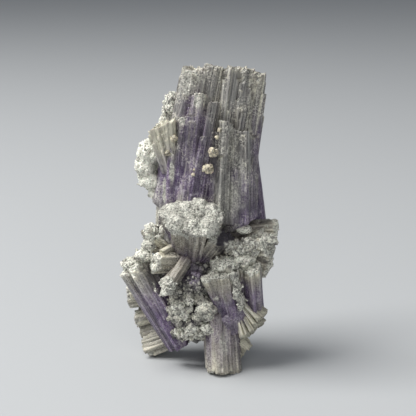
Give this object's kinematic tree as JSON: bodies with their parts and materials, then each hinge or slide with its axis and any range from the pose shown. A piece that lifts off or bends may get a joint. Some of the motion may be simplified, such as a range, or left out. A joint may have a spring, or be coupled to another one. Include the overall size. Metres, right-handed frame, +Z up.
{
  "type": "aragonite cluster",
  "caption": "Mineral specimen: a tall leaning bundle of striated six-sided aragonite prisms on a burst of shorter prisms with pale crust.",
  "frame": {"origin": "on the surface that the cluster stands on, under the middle of its bounding box", "axes": "+Z up, along the tall crystal's height; -Y to the side with the crusted front crystal; +X to the side the tall crystal leans to"},
  "size_m": [0.0489, 0.0397, 0.0931],
  "materials": {
    "banded_crystal": "striated prisms, violet at the middle and grey-beige towards the ends, slightly waxy on the flat faces",
    "violet_crystal": "striated violet prisms, paler and browner towards their ends, slightly waxy",
    "beige_crystal": "striated beige-grey prisms with a violet tint near their roots, dull to waxy",
    "pale_crust": "dull pale cream-grey granular crust with small dark pits"
  },
  "bodies": {
    "root": {"tall_crystal": "banded_crystal", "rear_crystal": "violet_crystal", "right_crystal": "violet_crystal", "back_lower_crystal": "violet_crystal", "front_crystal": "beige_crystal", "shoulder_crystal": "beige_crystal", "left_crystal": "beige_crystal", "foot_crystal": "beige_crystal", "right_side_crystal": "beige_crystal", "left_foot_crystal": "beige_crystal", "left_rear_crystals": "beige_crystal", "right_foot_crystal": "beige_crystal", "right_upper_crystal": "beige_crystal", "small_crystal": "beige_crystal", "back_upper_crystal": "beige_crystal", "back_left_crystal": "beige_crystal", "crust_mass": "pale_crust", "side_crust": "pale_crust", "left_upper_crystal": "pale_crust"}
  },
  "joints": []
}
